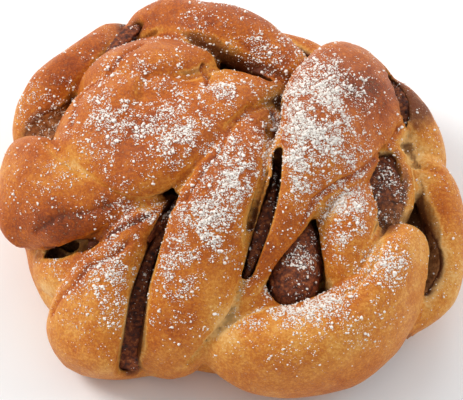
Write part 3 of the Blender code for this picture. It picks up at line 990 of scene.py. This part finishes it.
skins = np.concatenate([triangles_of(dough), triangles_of(filling)])
across_face = np.cross(skins[:, 1] - skins[:, 0], skins[:, 2] - skins[:, 0])
face_area = np.linalg.norm(across_face, axis=1) / 2
face_normal = unit(across_face)
face_middle = skins.mean(1) / MM
upward = np.clip(face_normal[:, 2] - STEEPEST, 0, None)
drifts = soft_noise(face_middle / 3.2, lattice(12)) + 0.7 * soft_noise(face_middle / 8.0, lattice(13))
drifts += 0.9 * soft_noise(face_middle / 1.3, lattice(14))
weight = face_area * upward * sugar_thickness(face_middle) * smoothstep(drifts, -0.8, 1.0)
trees = [BVHTree.FromObject(piece, bpy.context.evaluated_depsgraph_get()) for piece in (dough, filling)]
draw = np.random.default_rng(21)


def fallen(number):
    """Places and slopes where grains came to rest with open sky above them."""
    chosen = draw.choice(len(skins), number, p=weight / weight.sum())
    mix = draw.dirichlet((1.0, 1.0, 1.0), number)
    spot = (skins[chosen] * mix[:, :, None]).sum(1)
    slope = face_normal[chosen]
    sky = Vector((0, 0, 1))
    clear = np.array([
        all(tree.ray_cast(Vector(p) + Vector(n) * SKY_LIFT, sky)[0] is None for tree in trees)
        for p, n in zip(spot, slope)
    ])
    return spot[clear], slope[clear]


film = np.clip(sugar_thickness(points / MM), 0, DUST_LIMIT) * np.clip(normals[:, 2], 0, 1)
keep_value(dough, "sugar", film)


# %% Grains of sugar
def grains_mesh(name, subdivisions, number, middle, spread_of, smallest, largest):
    """Rough little grains, joined in one mesh. Half widths in millimetres."""
    spot, slope = fallen(number)
    size = np.clip(draw.lognormal(math.log(middle), spread_of, len(spot)), smallest, largest)
    ball = bmesh.new()
    if subdivisions:
        bmesh.ops.create_icosphere(ball, subdivisions=subdivisions, radius=1.0)
    else:
        bmesh.ops.create_uvsphere(ball, u_segments=4, v_segments=2, radius=1.0)
    bmesh.ops.triangulate(ball, faces=ball.faces)
    ball_corners = np.array([v.co[:] for v in ball.verts])
    ball_faces = np.array([[v.index for v in f.verts] for f in ball.faces])
    ball.free()
    sides = len(ball_corners)
    rough = draw.uniform(*ROUGHEST, (len(spot), sides, 1))
    stretch = draw.uniform(*SLIMMEST, (len(spot), 1, 3)) * LYING
    shape = ball_corners[None] * rough * stretch * (size * MM)[:, None, None]
    place = shape + (spot + slope * (size * RAISED * MM)[:, None])[:, None]
    faces = (ball_faces[None] + (np.arange(len(spot)) * sides)[:, None, None]).reshape(-1, 3)
    data = bpy.data.meshes.new(name)
    data.from_pydata(place.reshape(-1, 3).tolist(), [], faces.tolist())
    data.shade_smooth()
    obj = bpy.data.objects.new(name, data)
    bpy.context.scene.collection.objects.link(obj)
    print(name, len(spot), "grains,", len(faces), "triangles")
    return obj


sugar = (
    grains_mesh("icing_sugar", 1, CLUMPS, 0.22, 0.36, 0.12, 0.5),
    grains_mesh("small_icing_sugar", 0, CRUMBS, 0.155, 0.3, 0.09, 0.3),
    grains_mesh("fine_icing_sugar", 0, SPECKS, 0.09, 0.25, 0.05, 0.16),
)

# %% [markdown]
# ## Materials
# Colours are picked as they look on a screen, as hex values, and one function turns them into the linear
# light that a shader works with. One more function adds a node, sets it and links it.

# %% Colour and node helpers
def linear(code, alpha=1.0):
    """An sRGB hex colour as linear light."""
    parts = [int(code[i : i + 2], 16) / 255 for i in (0, 2, 4)]
    return (*[p / 12.92 if p <= 0.04045 else ((p + 0.055) / 1.055) ** 2.4 for p in parts], alpha)


def add(material, kind, settings=None, links=None, **options):
    """Adds a node: settings are socket values, links are sockets to take from, options are its properties."""
    node = material.node_tree.nodes.new(kind)
    for name, value in options.items():
        setattr(node, name, value)
    for name, value in (settings or {}).items():
        node.inputs[name].default_value = value
    for name, source in (links or {}).items():
        material.node_tree.links.new(source, node.inputs[name])
    return node


def new_material(name):
    made = bpy.data.materials.new(name)
    made.use_nodes = True
    made.node_tree.nodes.clear()
    return made


def finish_material(material, shader, bump=None):
    out = material.node_tree.nodes.new("ShaderNodeOutputMaterial")
    if bump is not None:
        material.node_tree.links.new(bump.outputs["Normal"], shader.inputs["Normal"])
    material.node_tree.links.new(shader.outputs["BSDF"], out.inputs["Surface"])


def ramp(material, source, stops, **options):
    """A colour ramp from a socket: stops are places from 0 to 1, each with a hex colour or a grey number."""
    node = add(material, "ShaderNodeValToRGB", links={"Fac": source}, **options)
    band = node.color_ramp
    while len(band.elements) < len(stops):
        band.elements.new(0.5)
    for element, (at, tone) in zip(band.elements, stops):
        element.position = at
        element.color = linear(tone) if isinstance(tone, str) else (tone, tone, tone, 1.0)
    return node.outputs["Color"]


def mixed(material, share, first, second, blend="MIX"):
    node = add(material, "ShaderNodeMix", data_type="RGBA", blend_type=blend)
    links = material.node_tree.links
    for at, value in ((0, share), (6, first), (7, second)):
        if hasattr(value, "links"):
            links.new(value, node.inputs[at])
        else:
            node.inputs[at].default_value = value
    return node.outputs[2]


print("orange brown is", [round(v, 3) for v in linear("b4632a")])

# %% [markdown]
# ### Egg-washed crust
# The crust is dough brushed with egg and baked. Egg wash gives a thin satin film, so highlights are broad
# and soft. Browning follows heat: crowns are orange brown, flanks tan, and creases stay pale yellow. The
# deepest gaps and creases are painted dark brown as shade. Around the folded edges the cinnamon has bled
# into the dough. Sugar too fine for grains of its own lies over it as a pale dust in the colour.

# %% Crust material
crust = new_material("egg_washed_crust")
where = add(crust, "ShaderNodeTexCoord").outputs["Object"]


def noise(material, vector, millimetres, detail=3.0, roughness=0.5, distortion=0.0):
    """Cloudy noise whose patches are about so many millimetres wide."""
    return add(
        material,
        "ShaderNodeTexNoise",
        {"Scale": 1000.0 / millimetres, "Detail": detail, "Roughness": roughness, "Distortion": distortion},
        {"Vector": vector},
    ).outputs["Fac"]


def value_of(material, name):
    return add(material, "ShaderNodeAttribute", attribute_name=name).outputs["Fac"]


def math_node(material, operation, first, second):
    links = {at: value for at, value in enumerate((first, second)) if hasattr(value, "links")}
    settings = {at: value for at, value in enumerate((first, second)) if not hasattr(value, "links")}
    return add(material, "ShaderNodeMath", settings, links, operation=operation).outputs[0]


def swing(material, source, much):
    """A noise's swing about its middle, so many times as strong."""
    return math_node(material, "MULTIPLY", math_node(material, "SUBTRACT", source, 0.5), much)


mottle = noise(crust, where, 4.0, 4.0, 0.6)
fine = noise(crust, where, 0.7, 3.0, 0.7)
# the baked value read here also carries painted shade from the seams and from patches where shade falls
degree = math_node(crust, "ADD", value_of(crust, "baked_and_shade"), swing(crust, mottle, 0.55))
degree = math_node(crust, "ADD", degree, swing(crust, fine, 0.95))
tone = ramp(crust, degree, (
    (0.0, "efc07a"),
    (0.2, "e29e45"),
    (0.38, "d07d26"),
    (0.56, "bb5f10"),
    (0.76, "984208"),
    (1.0, "5c2405"),
))
# painted shade: the more sheltered a place is, the more its colour is mixed towards dark brown, as shadow
painted_crease_shade = ramp(crust, value_of(crust, "shelter"), ((0.45, 0.0), (0.8, 0.92)))
tone = mixed(crust, painted_crease_shade, tone, linear("54240c"))
stain = math_node(crust, "ADD", value_of(crust, "cinnamon_near"), swing(crust, mottle, 0.9))
tone = mixed(crust, ramp(crust, stain, ((0.35, 0.0), (0.9, 0.85))), tone, linear("5f2c14"))
specks = noise(crust, where, 0.7, 2.0, 0.6)
tone = mixed(crust, ramp(crust, specks, ((0.62, 0.0), (0.72, 0.4))), tone, linear("e8bd88"))
dust = math_node(crust, "MULTIPLY", value_of(crust, "sugar"), noise(crust, where, 0.55, 3.0, 0.7))
tone = mixed(crust, ramp(crust, dust, ((0.44, 0.0), (0.56, 0.55))), tone, linear("f3e6da"))
pores = add(crust, "ShaderNodeTexVoronoi", {"Scale": 1000.0 / 1.4}, {"Vector": where}).outputs["Distance"]
relief = add(
    crust,
    "ShaderNodeBump",
    {"Strength": 1.0, "Distance": 0.0005},
    {"Height": noise(crust, where, 1.1, 5.0, 0.7)},
)
pits = add(
    crust,
    "ShaderNodeBump",
    {"Strength": 0.35, "Distance": 0.0002},
    {"Height": ramp(crust, pores, ((0.0, 0.0), (0.16, 1.0))), "Normal": relief.outputs["Normal"]},
)
rough = ramp(crust, mottle, ((0.3, 0.36), (0.7, 0.52)))
shader = add(
    crust,
    "ShaderNodeBsdfPrincipled",
    {"IOR": 1.33, "Coat Weight": 0.06, "Coat Roughness": 0.3, "Coat IOR": 1.4},
    {"Base Color": tone, "Roughness": rough},
)
finish_material(crust, shader, pits)
dough.data.materials.clear()
dough.data.materials.append(crust)

# %% [markdown]
# ### Cinnamon paste
# Ground cinnamon in butter and melted sugar: nearly black brown where it is thick, redder where it thins
# out, and with a sandy surface that scatters light.

# %% Filling material
paste = new_material("cinnamon_paste")
where = add(paste, "ShaderNodeTexCoord").outputs["Object"]
sand = noise(paste, where, 1.1, 4.0, 0.65)
tone = ramp(paste, sand, ((0.34, "2c0f06"), (0.48, "6c2e10"), (0.62, "a0562a"), (0.72, "c48a55")))
tone = mixed(paste, value_of(paste, "thin"), tone, ramp(paste, sand, ((0.35, "b06a2c"), (0.6, "e0a766"))))
relief = add(
    paste,
    "ShaderNodeBump",
    {"Strength": 0.9, "Distance": 0.0004},
    {"Height": noise(paste, where, 0.7, 4.0, 0.7)},
)
shader = add(
    paste,
    "ShaderNodeBsdfPrincipled",
    {"IOR": 1.5},
    {"Base Color": tone, "Roughness": ramp(paste, sand, ((0.3, 0.55), (0.7, 0.85)))},
)
finish_material(paste, shader, relief)
filling.data.materials.clear()
filling.data.materials.append(paste)

# %% [markdown]
# ### Icing sugar
# Powdered sugar is white and matt.

# %% Sugar material
powder = new_material("icing_sugar")
where = add(powder, "ShaderNodeTexCoord").outputs["Object"]
tone = ramp(powder, noise(powder, where, 0.5, 2.0), ((0.3, "efe6dc"), (0.7, "fffdf8")))
shader = add(powder, "ShaderNodeBsdfPrincipled", {"Roughness": 0.8, "IOR": 1.5}, {"Base Color": tone})
finish_material(powder, shader)
for piece in sugar:
    piece.data.materials.append(powder)

# %% [markdown]
# ## What each piece stands for
# The skins take the place of the two plain pieces, and the sugar rides with them.

# %% Riding
for piece, node, finish in ((dough, "dough", "crust"), (filling, "cinnamon_filling", "cinnamon")):
    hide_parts(node)
    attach(piece, "root")
for piece in sugar:
    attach(piece, "root")

# %% [markdown]
# ## Studio
# The bun lies on plain white paper in a bright, even room. A soft light at the left, rather high up, puts a
# pale sheen on the upper left flanks; weaker ones at the right and behind lift the far edges.

# %% Floor
mesh = bmesh.new()
bmesh.ops.create_grid(mesh, x_segments=1, y_segments=1, size=1.5)
floor = new_object("floor", mesh)
paper = new_material("matt_white_paper")
where = add(paper, "ShaderNodeTexCoord").outputs["Object"]
tone = ramp(paper, noise(paper, where, 60.0, 2.0), ((0.3, "f3f5f7"), (0.7, "f7f9fb")))
finish_material(paper, add(paper, "ShaderNodeBsdfPrincipled", {"Roughness": 0.9}, {"Base Color": tone}))
floor.data.materials.append(paper)


# %% Lights
def softbox(name, azimuth, elevation, distance, width, watts, colour):
    """A square soft light that looks at the bun from a direction, in degrees, at a distance in metres."""
    lamp = bpy.data.lights.new(name, "AREA")
    lamp.shape = "SQUARE"
    lamp.size = width
    lamp.energy = watts
    lamp.color = linear(colour)[:3]
    obj = bpy.data.objects.new(name, lamp)
    a, e = math.radians(azimuth), math.radians(elevation)
    back = Vector((math.sin(a) * math.cos(e), -math.cos(a) * math.cos(e), math.sin(e)))
    obj.location = back * distance
    obj.rotation_mode = "QUATERNION"
    obj.rotation_quaternion = back.to_track_quat("Z", "Y")
    bpy.context.scene.collection.objects.link(obj)
    return obj


softbox("key_light", -105, 42, 0.9, 0.36, 5.2, "fffbf7")
softbox("right_light", 95, 32, 1.0, 0.5, 2.6, "ffffff")
softbox("back_light", 165, 32, 1.0, 0.4, 2.6, "ffffff")
world = bpy.data.worlds.new("studio_air")
world.use_nodes = True
world.node_tree.nodes["Background"].inputs["Color"].default_value = linear("ffffff")
world.node_tree.nodes["Background"].inputs["Strength"].default_value = 0.58
bpy.context.scene.world = world
bpy.context.scene.view_settings.view_transform = "Standard"

# %% [markdown]
# ## Camera
# The photograph looks down on the bun at a steep angle from some way off. Its frame is 463 by 400 dots and
# each dot is about a quarter of a millimetre at the bun's middle, which gives the lens.

# %% Camera
ELEVATION = 54.0  # degrees above level
DISTANCE = 0.65  # metres
FRAME_WIDTH = 463  # dots
DOT = 0.00026  # metres at the bun's middle
SENSOR = 36.0  # millimetres
DOTS_ABOVE_MIDDLE = 40  # how far above the bun's foot the camera aims
e = math.radians(ELEVATION)
back = Vector((0.0, -math.cos(e), math.sin(e)))
up_way = Vector((0.0, math.sin(e), math.cos(e)))
lens = bpy.data.cameras.new("camera")
lens.sensor_width = SENSOR
lens.lens = SENSOR * DISTANCE / (FRAME_WIDTH * DOT)
camera = bpy.data.objects.new("camera", lens)
camera.location = up_way * (DOTS_ABOVE_MIDDLE * DOT) + back * DISTANCE
camera.rotation_mode = "QUATERNION"
camera.rotation_quaternion = (-back).to_track_quat("-Z", "Y")
bpy.context.scene.collection.objects.link(camera)
bpy.context.scene.camera = camera
print("lens in mm", round(lens.lens, 1))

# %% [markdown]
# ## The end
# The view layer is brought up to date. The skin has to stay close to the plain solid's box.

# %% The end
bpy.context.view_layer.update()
